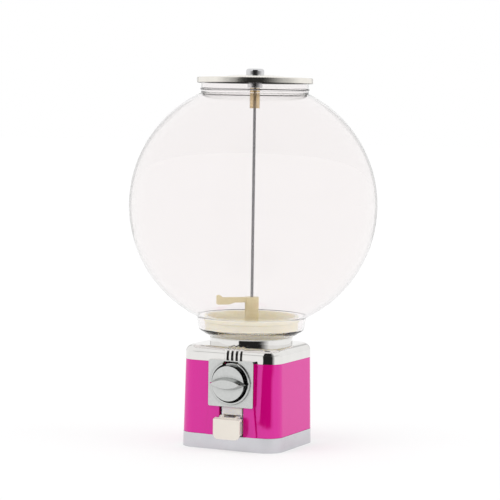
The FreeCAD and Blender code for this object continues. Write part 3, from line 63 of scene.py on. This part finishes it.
camera_or_gloss.operation = "MAXIMUM"
room_links.new(path.outputs["Is Camera Ray"], camera_or_gloss.inputs[0])
room_links.new(path.outputs["Is Glossy Ray"], camera_or_gloss.inputs[1])
any_view = room_nodes.new("ShaderNodeMath")
any_view.operation = "MAXIMUM"
room_links.new(camera_or_gloss.outputs[0], any_view.inputs[0])
room_links.new(path.outputs["Is Transmission Ray"], any_view.inputs[1])
choose = room_nodes.new("ShaderNodeMixShader")
room_links.new(any_view.outputs[0], choose.inputs["Fac"])
room_links.new(lit.outputs[0], choose.inputs[1])
room_links.new(seen.outputs[0], choose.inputs[2])
room_links.new(choose.outputs[0], room_nodes["World Output"].inputs["Surface"])

# Floor: seamless matt white paper that runs on far past the frame.
# It takes the object's soft shadow and has a trace of its own glow.
FLOOR_SIZE = 60.0
FLOOR_ALBEDO = 0.50
FLOOR_GLOW = 0.50
FLOOR_ROUGHNESS = 0.9
bpy.ops.object.select_all(action="DESELECT")
bpy.ops.mesh.primitive_plane_add(size=FLOOR_SIZE, location=(0, 0, 0))
floor = bpy.context.object
floor.name = "floor"
floor_paper = bpy.data.materials.new("floor_paper")
floor_paper.use_nodes = True
paper = floor_paper.node_tree.nodes["Principled BSDF"]
paper.inputs["Base Color"].default_value = (FLOOR_ALBEDO, FLOOR_ALBEDO, FLOOR_ALBEDO, 1.0)
paper.inputs["Roughness"].default_value = FLOOR_ROUGHNESS
paper.inputs["Specular IOR Level"].default_value = 0.0
paper.inputs["Emission Color"].default_value = WHITE
paper.inputs["Emission Strength"].default_value = FLOOR_GLOW
floor.data.materials.append(floor_paper)

# Lights: a broad key from the upper left front and a low fill from the right.
# Both come from very far off, so the paper is equally bright near and far.
# Neither shows in the gloss or through the globe.
LIGHT_SPREAD = math.radians(40)
LIGHTS = (
    ("key_light", 0.50, Vector((-1.4, -1.5, 2.3))),
    ("side_fill", 0.55, Vector((2.6, 0.5, 0.7))),
)
for name, strength, comes_from in LIGHTS:
    light_data = bpy.data.lights.new(name, "SUN")
    light_data.energy = strength
    light_data.angle = LIGHT_SPREAD
    light = bpy.data.objects.new(name, light_data)
    bpy.context.scene.collection.objects.link(light)
    light.rotation_euler = (-comes_from).to_track_quat("-Z", "Y").to_euler()
    light.visible_glossy = False
    light.visible_transmission = False

# Camera: a long lens a little above the globe's middle, turned to the right front corner.
# It stands far off, so that upright edges stay nearly parallel.
AZIMUTH = math.radians(25.367)
DISTANCE = 3.2753
CAMERA_HEIGHT = 0.5407
YAW = math.radians(-0.074)
PITCH = math.radians(3.894)
ROLL = math.radians(0.847)
FOCAL_PIXELS = 2002.9
FRAME_PIXELS = 500.0
SENSOR = 36.0
FARTHEST = 100.0
camera_data = bpy.data.cameras.new("camera")
camera_data.sensor_width = SENSOR
camera_data.sensor_fit = "HORIZONTAL"
camera_data.lens = FOCAL_PIXELS * SENSOR / FRAME_PIXELS
camera_data.clip_end = FARTHEST
camera = bpy.data.objects.new("camera", camera_data)
bpy.context.scene.collection.objects.link(camera)
ahead = Vector((-math.sin(AZIMUTH), math.cos(AZIMUTH), 0.0))
right = Vector((math.cos(AZIMUTH), math.sin(AZIMUTH), 0.0))
up = Vector((0.0, 0.0, 1.0))
level = ahead * math.cos(YAW) + right * math.sin(YAW)
across = right * math.cos(YAW) - ahead * math.sin(YAW)
look = level * math.cos(PITCH) - up * math.sin(PITCH)
lift = up * math.cos(PITCH) + level * math.sin(PITCH)
image_right = across * math.cos(ROLL) + lift * math.sin(ROLL)
image_up = lift * math.cos(ROLL) - across * math.sin(ROLL)
turn = Matrix((image_right, image_up, -look)).transposed()
stand = Vector((DISTANCE * math.sin(AZIMUTH), -DISTANCE * math.cos(AZIMUTH), CAMERA_HEIGHT))
camera.matrix_world = Matrix.Translation(stand) @ turn.to_4x4()
bpy.context.scene.camera = camera

# Floor mat: the dark floor on the camera's side, part of a flat ring about the machine.
# It shows only as a reflection in paint and metal, and fades out to the right.
CARD_LIFT = 0.001
MAT_INNER = 0.44
MAT_OUTER = 1.5
MAT_SHADES = ((-13, 0.02), (45, 0.02), (49, 0.50), (62, 0.95))
ARC_POINTS = 120


def hidden_card(card, cloth, in_gloss, through_globe):
    """Makes a card that shows only in reflections, only through clear pieces, or in both."""
    card.data.materials.append(cloth)
    card.visible_camera = False
    card.visible_diffuse = False
    card.visible_shadow = False
    card.visible_glossy = in_gloss
    card.visible_transmission = through_globe


def arc(name, radius, shades, height):
    """An open arc about the machine's axis over the azimuths of its shades, in edit mode."""
    bpy.ops.object.select_all(action="DESELECT")
    bpy.ops.mesh.primitive_circle_add(
        vertices=ARC_POINTS, radius=radius, fill_type="NOTHING", location=(0, 0, 0))
    card = bpy.context.object
    card.name = name
    bpy.ops.object.mode_set(mode="EDIT")
    begin, end = math.radians(shades[0][0]), math.radians(shades[-1][0])
    for angle, inner in ((begin, True), (end, False)):
        bpy.ops.mesh.select_all(action="SELECT")
        bpy.ops.mesh.bisect(
            plane_co=(0, 0, 0),
            plane_no=(math.cos(angle), math.sin(angle), 0),
            clear_inner=inner,
            clear_outer=not inner,
        )
    bpy.ops.mesh.select_all(action="SELECT")
    bpy.ops.transform.translate(value=(0, 0, height))
    return card


def shaded_round(name, shades):
    """A cloth whose brightness follows the azimuth, given as pairs of degrees and brightness."""
    cloth = bpy.data.materials.new(name)
    cloth.use_nodes = True
    cloth_nodes = cloth.node_tree.nodes
    cloth_links = cloth.node_tree.links
    cloth_nodes.remove(cloth_nodes["Principled BSDF"])
    spot = cloth_nodes.new("ShaderNodeTexCoord")
    axes = cloth_nodes.new("ShaderNodeSeparateXYZ")
    cloth_links.new(spot.outputs["Object"], axes.inputs[0])
    forward = cloth_nodes.new("ShaderNodeMath")
    forward.operation = "MULTIPLY"
    forward.inputs[1].default_value = -1.0
    cloth_links.new(axes.outputs["Y"], forward.inputs[0])
    angle = cloth_nodes.new("ShaderNodeMath")
    angle.operation = "ARCTAN2"
    cloth_links.new(axes.outputs["X"], angle.inputs[0])
    cloth_links.new(forward.outputs[0], angle.inputs[1])
    begin, end = shades[0][0], shades[-1][0]
    share = cloth_nodes.new("ShaderNodeMapRange")
    share.inputs["From Min"].default_value = math.radians(begin)
    share.inputs["From Max"].default_value = math.radians(end)
    cloth_links.new(angle.outputs[0], share.inputs["Value"])
    ramp = cloth_nodes.new("ShaderNodeValToRGB")
    stops = ramp.color_ramp.elements
    for degrees, shade in shades[1:-1]:
        stops.new((degrees - begin) / (end - begin)).color = (shade, shade, shade, 1.0)
    stops[0].color = (shades[0][1], shades[0][1], shades[0][1], 1.0)
    stops[-1].color = (shades[-1][1], shades[-1][1], shades[-1][1], 1.0)
    cloth_links.new(share.outputs[0], ramp.inputs[0])
    glow = cloth_nodes.new("ShaderNodeEmission")
    cloth_links.new(ramp.outputs["Color"], glow.inputs["Color"])
    cloth_links.new(glow.outputs[0], cloth_nodes["Material Output"].inputs["Surface"])
    return cloth


floor_mat = arc("floor_mat", MAT_INNER, MAT_SHADES, CARD_LIFT)
bpy.ops.mesh.extrude_region()
outward = MAT_OUTER / MAT_INNER
bpy.ops.transform.resize(value=(outward, outward, 1), center_override=(0, 0, 0))
bpy.ops.object.mode_set(mode="OBJECT")
hidden_card(floor_mat, shaded_round("mat_glow", MAT_SHADES), in_gloss=True, through_globe=False)

# Front card: the tall unlit side of the room in front of the machine.
# It draws the dark lines in the cover's ribs and the dark wedge on its corner.
CARD_HEIGHT = 2.6
CARD_SHADES = ((-8.5, 0.02), (50, 0.02), (58, 0.25), (74, 0.95))
front_card = arc("front_card", MAT_OUTER, CARD_SHADES, CARD_LIFT)
bpy.ops.mesh.extrude_region()
bpy.ops.transform.translate(value=(0, 0, CARD_HEIGHT))
bpy.ops.object.mode_set(mode="OBJECT")
hidden_card(front_card, shaded_round("card_glow", CARD_SHADES), in_gloss=True, through_globe=False)

# Room wall: a dark band at the height of the lid that fades to both sides.
# It shows in the lid's rim, and in the rod through the clear globe.
WALL_RADIUS = 1.45
WALL_LOW = 0.55
WALL_TOP = 0.70
WALL_SHADES = (
    (-52, 1.00), (-41, 0.80), (-26, 0.45), (-5, 0.12), (8, 0.03), (39, 0.03), (55, 0.17),
    (86, 0.48), (110, 0.85), (122, 1.00),
)
room_wall = arc("room_wall", WALL_RADIUS, WALL_SHADES, WALL_LOW)
bpy.ops.mesh.extrude_region()
bpy.ops.transform.translate(value=(0, 0, WALL_TOP - WALL_LOW))
bpy.ops.object.mode_set(mode="OBJECT")
hidden_card(room_wall, shaded_round("wall_glow", WALL_SHADES), in_gloss=True, through_globe=True)

# Strips: the greyer gaps at both sides of the white backdrop, behind the machine.
# They show only as reflections, in edges that are turned away from the camera.
STRIP_DISTANCE = 2.5
STRIP_OFF_AXIS = math.radians(24)
STRIP_WIDTH = 0.60
STRIP_HEIGHT = 1.6
STRIP_SHADES = ((-180, 0.68), (180, 0.68))
strip_glow = shaded_round("strip_glow", STRIP_SHADES)
for side, sign in (("left", -1), ("right", 1)):
    strip_turn = AZIMUTH + math.pi + sign * STRIP_OFF_AXIS
    strip_x = STRIP_DISTANCE * math.sin(strip_turn)
    strip_y = -STRIP_DISTANCE * math.cos(strip_turn)
    bpy.ops.object.select_all(action="DESELECT")
    bpy.ops.mesh.primitive_plane_add(size=1.0, location=(0, 0, 0))
    strip = bpy.context.object
    strip.name = "strip_" + side
    strip.data.transform(Matrix.Diagonal((STRIP_WIDTH, STRIP_HEIGHT, 1.0, 1.0)))
    strip.data.transform(Matrix.Rotation(math.pi / 2, 4, "X"))
    strip.data.transform(Matrix.Rotation(strip_turn, 4, "Z"))
    strip.data.transform(Matrix.Translation((strip_x, strip_y, STRIP_HEIGHT / 2)))
    hidden_card(strip, strip_glow, in_gloss=True, through_globe=False)

# Base pan: a zinc die-casting, polished and chromed, with its edges broken by the polishing wheel.
# The tower stands on it, and its floor takes the rod's nut and the stand bolts.
MERGE = 0.000005
FLAT_ANGLE = math.radians(0.5)
EDGE_ANGLE = math.radians(40)
SMOOTH_ANGLE = math.radians(35)
FACE_WEIGHT = 100
SHADE_DETAIL = 4.0
RIPPLE_DETAIL = 2.0
RIPPLE_DEPTH = 0.0002
nodes = frame["nodes"]
bodies = frame["record"]["behaviour"]["bodies"]
subparts = {part["node"]: part for part in frame["record"]["subparts"]}


def merged_copy(node):
    """A copy of a CAD node as its own piece, with its loose triangles merged, in edit mode."""
    mesh = nodes[node].data.copy()
    mesh.materials.clear()
    piece = bpy.data.objects.new(node + "_finished", mesh)
    bpy.context.scene.collection.objects.link(piece)
    bpy.ops.object.select_all(action="DESELECT")
    bpy.context.view_layer.objects.active = piece
    piece.select_set(True)
    if mesh.has_custom_normals:
        bpy.ops.mesh.customdata_custom_splitnormals_clear()
    bpy.ops.object.mode_set(mode="EDIT")
    bpy.ops.mesh.select_all(action="SELECT")
    bpy.ops.mesh.remove_doubles(threshold=MERGE)
    return piece


def rounded(piece, node, width, segments):
    """Rounds off a piece's sharp edges, smooths it and lets it stand for its node."""
    bpy.ops.object.mode_set(mode="OBJECT")
    rounding = piece.modifiers.new("rounded_edges", "BEVEL")
    rounding.width = width
    rounding.segments = segments
    rounding.limit_method = "ANGLE"
    rounding.angle_limit = EDGE_ANGLE
    rounding.use_clamp_overlap = True
    bpy.ops.object.modifier_apply(modifier=rounding.name)
    bpy.ops.object.shade_smooth_by_angle(angle=SMOOTH_ANGLE)
    flats = piece.modifiers.new("flats_stay_flat", "WEIGHTED_NORMAL")
    flats.weight = FACE_WEIGHT
    flats.keep_sharp = True
    bpy.ops.object.modifier_apply(modifier=flats.name)
    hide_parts(node)
    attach(piece, [name for name, members in bodies.items() if node in members][0])
    return piece


def softened(node, width, segments=2):
    """A copy of a CAD node with its flats joined and its sharp edges rounded off."""
    piece = merged_copy(node)
    bpy.ops.mesh.dissolve_limited(angle_limit=FLAT_ANGLE)
    return rounded(piece, node, width, segments)


def noise_over(material, scale, detail):
    """Noise on the piece's own coordinates."""
    spot = material.node_tree.nodes.new("ShaderNodeTexCoord")
    noise = material.node_tree.nodes.new("ShaderNodeTexNoise")
    noise.inputs["Scale"].default_value = scale
    noise.inputs["Detail"].default_value = detail
    material.node_tree.links.new(spot.outputs["Object"], noise.inputs["Vector"])
    return noise


def finish(name, first, second, gloss, scale):
    """A new material whose colour and roughness wander between two values with one noise."""
    material = bpy.data.materials.new(name)
    material.use_nodes = True
    links = material.node_tree.links
    shader = material.node_tree.nodes["Principled BSDF"]
    noise = noise_over(material, scale, SHADE_DETAIL)
    tint = material.node_tree.nodes.new("ShaderNodeMix")
    tint.data_type = "RGBA"
    tint.inputs["A"].default_value = (*first, 1.0)
    tint.inputs["B"].default_value = (*second, 1.0)
    links.new(noise.outputs["Fac"], tint.inputs["Factor"])
    links.new(tint.outputs["Result"], shader.inputs["Base Color"])
    spread = material.node_tree.nodes.new("ShaderNodeMapRange")
    spread.inputs["To Min"].default_value, spread.inputs["To Max"].default_value = gloss
    links.new(noise.outputs["Fac"], spread.inputs["Value"])
    links.new(spread.outputs[0], shader.inputs["Roughness"])
    return material, shader


def ripple(material, scale, strength):
    """A fine uneven surface as bump on the shader's normal."""
    noise = noise_over(material, scale, RIPPLE_DETAIL)
    bump = material.node_tree.nodes.new("ShaderNodeBump")
    bump.inputs["Strength"].default_value = strength
    bump.inputs["Distance"].default_value = RIPPLE_DEPTH
    material.node_tree.links.new(noise.outputs["Fac"], bump.inputs["Height"])
    shader = material.node_tree.nodes["Principled BSDF"]
    material.node_tree.links.new(bump.outputs["Normal"], shader.inputs["Normal"])


def metal(name, dark, light, gloss, scale, bump_scale, bump_strength):
    """A bare or plated metal whose shade and gloss wander a little over the surface."""
    material, shader = finish(name, dark, light, gloss, scale)
    shader.inputs["Metallic"].default_value = 1.0
    ripple(material, bump_scale, bump_strength)
    return material


base_chrome = metal(
    "base_chrome", dark=(0.58, 0.58, 0.61), light=(0.67, 0.67, 0.70), gloss=(0.12, 0.20),
    scale=40.0, bump_scale=30.0, bump_strength=0.05)
base_pan = softened("base_pan", width=0.0012, segments=3)
base_pan.data.materials.append(base_chrome)

# Body shell: folded sheet steel in a glossy magenta stoving paint, which tints what it reflects.
# The paint shows a slight orange peel; the raised front panel carries mechanism and chute.
PAINT_IOR = 2.45
PAINT_REFLECTION = (1.0, 0.26, 1.0, 1.0)
magenta, magenta_shader = finish(
    "magenta_paint", first=(0.600, 0.000, 0.185), second=(0.625, 0.000, 0.195),
    gloss=(0.05, 0.09), scale=30.0)
magenta_shader.inputs["IOR"].default_value = PAINT_IOR
magenta_shader.inputs["Specular Tint"].default_value = PAINT_REFLECTION
ripple(magenta, scale=260.0, strength=0.02)
body_shell = softened("body_shell", width=0.0005)
body_shell.data.materials.append(magenta)

# Top cover: a chromed casting over the shell, with the globe's collar and four ribs at the front.
# It is buffed to a mirror, with a broad, barely felt wave from the buffing.
bright_chrome = metal(
    "bright_chrome", dark=(0.74, 0.73, 0.71), light=(0.83, 0.82, 0.80), gloss=(0.03, 0.06),
    scale=60.0, bump_scale=25.0, bump_strength=0.04)
top_cover = softened("top_cover", width=0.0006)
top_cover.data.materials.append(bright_chrome)


# Coin mechanism: zinc die-castings with a satin plating; plate, bezel, dial and wing handle show.
# Their creases carry painted shade, and the inner works sit behind them in the can.
def painted_crease_shade(material, reach, darkest, deep=0.0, open_air=1.0):
    """Paints shade into the shader's colour in creases, found by ambient occlusion."""
    base = material.node_tree.nodes["Principled BSDF"].inputs["Base Color"]
    links = material.node_tree.links
    crease = material.node_tree.nodes.new("ShaderNodeAmbientOcclusion")
    crease.inputs["Distance"].default_value = reach
    shade = material.node_tree.nodes.new("ShaderNodeMapRange")
    shade.inputs["From Min"].default_value = deep
    shade.inputs["From Max"].default_value = open_air
    shade.inputs["To Min"].default_value = darkest
    links.new(crease.outputs["AO"], shade.inputs["Value"])
    mix = material.node_tree.nodes.new("ShaderNodeVectorMath")
    mix.operation = "SCALE"
    links.new(base.links[0].from_socket, mix.inputs[0])
    links.new(shade.outputs[0], mix.inputs["Scale"])
    links.new(mix.outputs[0], base)


satin_zinc = metal(
    "satin_zinc", dark=(0.52, 0.53, 0.52), light=(0.66, 0.67, 0.66), gloss=(0.12, 0.20),
    scale=220.0, bump_scale=500.0, bump_strength=0.10)
# Painted shade: the zinc is darkened in the creases round plate, dial and handle.
painted_crease_shade(satin_zinc, reach=0.006, darkest=0.45)
for node, width in (("mech_plate", 0.0006), ("dial", 0.0008), ("handle", 0.0010)):
    softened(node, width, segments=3).data.materials.append(satin_zinc)

# Chute and flap: cream injection-moulded plastic with a low sheen and rounded edges.
# The flap swings on a pin through two ears of the chute.
MOULDED_SCALE = 50.0
GRAIN_SCALE = 350.0
GRAIN_STRENGTH = 0.05
UNDER_SURFACE = (1.0, 0.8, 0.5)


def plastic(name, first, second, gloss):
    """A moulded plastic with two close shades and a faint grain."""
    material = finish(name, first, second, gloss, MOULDED_SCALE)[0]
    ripple(material, GRAIN_SCALE, GRAIN_STRENGTH)
    return material


def let_light_in(material, weight, depth):
    """Lets light wander under the surface of a thin moulding."""
    shader = material.node_tree.nodes["Principled BSDF"]
    shader.inputs["Subsurface Weight"].default_value = weight
    shader.inputs["Subsurface Radius"].default_value = UNDER_SURFACE
    shader.inputs["Subsurface Scale"].default_value = depth


cream = plastic(
    "cream_plastic", first=(0.78, 0.73, 0.655), second=(0.83, 0.78, 0.70), gloss=(0.34, 0.46))
# Painted light: a paler copy of the cream lifts the chute's shaded throat.
cream_painted_light = plastic(
    "cream_painted_light", first=(0.90, 0.85, 0.775), second=(0.94, 0.89, 0.82), gloss=(0.34, 0.46))
let_light_in(cream_painted_light, weight=0.5, depth=0.01)
for node, width, moulding in (("chute", 0.0005, cream_painted_light), ("chute_flap", 0.0009, cream)):
    softened(node, width, segments=3).data.materials.append(moulding)

# Hopper and agitator: the same kind of moulding in ivory and straw, seen through the globe.
# The agitator's arm and tube turn with the product wheel and stir the gumballs.
ivory = plastic(
    "ivory_plastic", first=(0.81, 0.745, 0.615), second=(0.87, 0.81, 0.70), gloss=(0.30, 0.42))
let_light_in(ivory, weight=0.6, depth=0.02)
straw = plastic(
    "straw_plastic", first=(0.71, 0.60, 0.35), second=(0.77, 0.67, 0.43), gloss=(0.30, 0.42))
for node, width, moulding in (("hopper", 0.0006, ivory), ("agitator", 0.0012, straw)):
    softened(node, width, segments=3).data.materials.append(moulding)

# Globe: blown clear plastic, as thick as a bottle's wall, with a beaded neck and a cupped foot.
# It is spun from its own section, so that it bends light evenly all round.
# It sits on the collar's gasket and is held down by the lid and the rod.
CLEAR_IOR = 1.45
CLEAR_REFLECTION = (0.15, 0.15, 0.15, 1.0)
GLOBE_CENTRE = Vector((0.0, 0.0, 0.3909))
GLOBE_RADII = (0.2032, 0.2000)
ON_SPHERE = 0.00003
ARC_CUTS = 1
TURNS = 192
clear, clear_shader = finish(
    "clear_globe", first=(0.950, 0.932, 0.930), second=(0.960, 0.942, 0.940),
    gloss=(0.0, 0.01), scale=8.0)
clear_shader.inputs["Transmission Weight"].default_value = 1.0
clear_shader.inputs["IOR"].default_value = CLEAR_IOR
clear_shader.inputs["Specular Tint"].default_value = CLEAR_REFLECTION
globe = merged_copy("globe")
bpy.ops.mesh.bisect(
    plane_co=(0, 0, 0), plane_no=(0, 1, 0), clear_inner=True, clear_outer=True)
section = bmesh.from_edit_mesh(globe.data)
other_half = [point for point in section.verts if point.co.x < 0]
bmesh.ops.delete(section, geom=other_half, context="VERTS")
for radius in GLOBE_RADII:
    arc_edges = [edge for edge in section.edges if all(
        abs((point.co - GLOBE_CENTRE).length - radius) < ON_SPHERE for point in edge.verts)]
    cuts = bmesh.ops.subdivide_edges(section, edges=arc_edges, cuts=ARC_CUTS)
    for point in cuts["geom_inner"]:
        if isinstance(point, bmesh.types.BMVert):
            point.co = GLOBE_CENTRE + (point.co - GLOBE_CENTRE).normalized() * radius
bmesh.update_edit_mesh(globe.data)
bpy.ops.mesh.select_all(action="SELECT")
bpy.ops.mesh.spin(steps=TURNS, angle=2 * math.pi, center=(0, 0, 0), axis=(0, 0, 1))
bpy.ops.mesh.select_all(action="SELECT")
bpy.ops.mesh.remove_doubles(threshold=MERGE)
bpy.ops.mesh.normals_make_consistent(inside=False)
globe = rounded(globe, "globe", width=0.0015, segments=4)
globe.data.materials.append(clear)
globe.visible_shadow = False
globe.visible_diffuse = False

# Lid and lock: a spun and chromed cap, dark inside with painted shade, and the lock's turned
# housing on the rod.
# The lid's rim hangs over the globe's neck on a soft gasket.
FACING_DOWN = -0.5
spun_metal = metal(
    "spun_metal", dark=(0.80, 0.77, 0.71), light=(0.88, 0.85, 0.79), gloss=(0.12, 0.18),
    scale=90.0, bump_scale=25.0, bump_strength=0.04)
# Painted shade: a near-black copy of the lid's metal for its inside.
painted_shade_inside = metal(
    "painted_shade_inside", dark=(0.05, 0.05, 0.05), light=(0.09, 0.09, 0.09), gloss=(0.40, 0.60),
    scale=90.0, bump_scale=60.0, bump_strength=0.10)
turned_chrome = metal(
    "turned_chrome", dark=(0.62, 0.62, 0.63), light=(0.70, 0.70, 0.71), gloss=(0.06, 0.12),
    scale=90.0, bump_scale=40.0, bump_strength=0.04)
lid = softened("lid", width=0.0003)
lid.data.materials.append(spun_metal)
lid.data.materials.append(painted_shade_inside)
# The faces turned down or towards the axis take the painted shade.
for face in lid.data.polygons:
    outwards = face.normal.x * face.center.x + face.normal.y * face.center.y
    facing_axis = outwards < 0 and abs(face.normal.z) < -FACING_DOWN
    if face.normal.z < FACING_DOWN or facing_axis:
        face.material_index = 1
softened("lock_housing", width=0.0003).data.materials.append(turned_chrome)

# Rod and sleeve: a long plated steel rod from the lock to the base pan, greyed by handling.
# The sleeve under the lock is an amber, see-through nylon tube.
NYLON_CLEARNESS = 0.85
NYLON_IOR = 1.5
plated_steel = metal(
    "plated_steel", dark=(0.22, 0.22, 0.23), light=(0.33, 0.33, 0.34), gloss=(0.18, 0.30),
    scale=120.0, bump_scale=500.0, bump_strength=0.08)
nylon, nylon_shader = finish(
    "clear_nylon", first=(0.76, 0.56, 0.29), second=(0.82, 0.63, 0.36),
    gloss=(0.15, 0.25), scale=60.0)
nylon_shader.inputs["Transmission Weight"].default_value = NYLON_CLEARNESS
nylon_shader.inputs["IOR"].default_value = NYLON_IOR

# Inner works: steel, brass and rubber pieces that keep their shape as built.
# Gears, pins, nuts, gaskets and bushings sit inside and show only when the machine is opened.
# The lid's gasket carries painted shade where it is squeezed.
turned_brass = metal(
    "turned_brass", dark=(0.66, 0.47, 0.19), light=(0.74, 0.55, 0.25), gloss=(0.20, 0.30),
    scale=80.0, bump_scale=300.0, bump_strength=0.08)
rubber, painted_shade_rubber = (
    plastic(name, first=(0.74, 0.74, 0.71), second=(0.80, 0.80, 0.77), gloss=(0.55, 0.75))
    for name in ("pale_rubber", "painted_shade_rubber"))
# Painted shade: the lid gasket's copy of the rubber is darkened almost to black in its creases.
painted_crease_shade(painted_shade_rubber, reach=0.01, darkest=0.04, deep=0.10, open_air=0.90)
inside = {
    "steel": plated_steel, "brass": turned_brass, "rubber": rubber, "clear_nylon": nylon,
    "die_cast": satin_zinc, "cream_plastic": cream,
}
for name, part in subparts.items():
    node = nodes[name]
    if not node.hide_render and part["material_slot"] in inside:
        node.data.materials.clear()
        node.data.materials.append(
            painted_shade_rubber if name == "lid_gasket" else inside[part["material_slot"]])
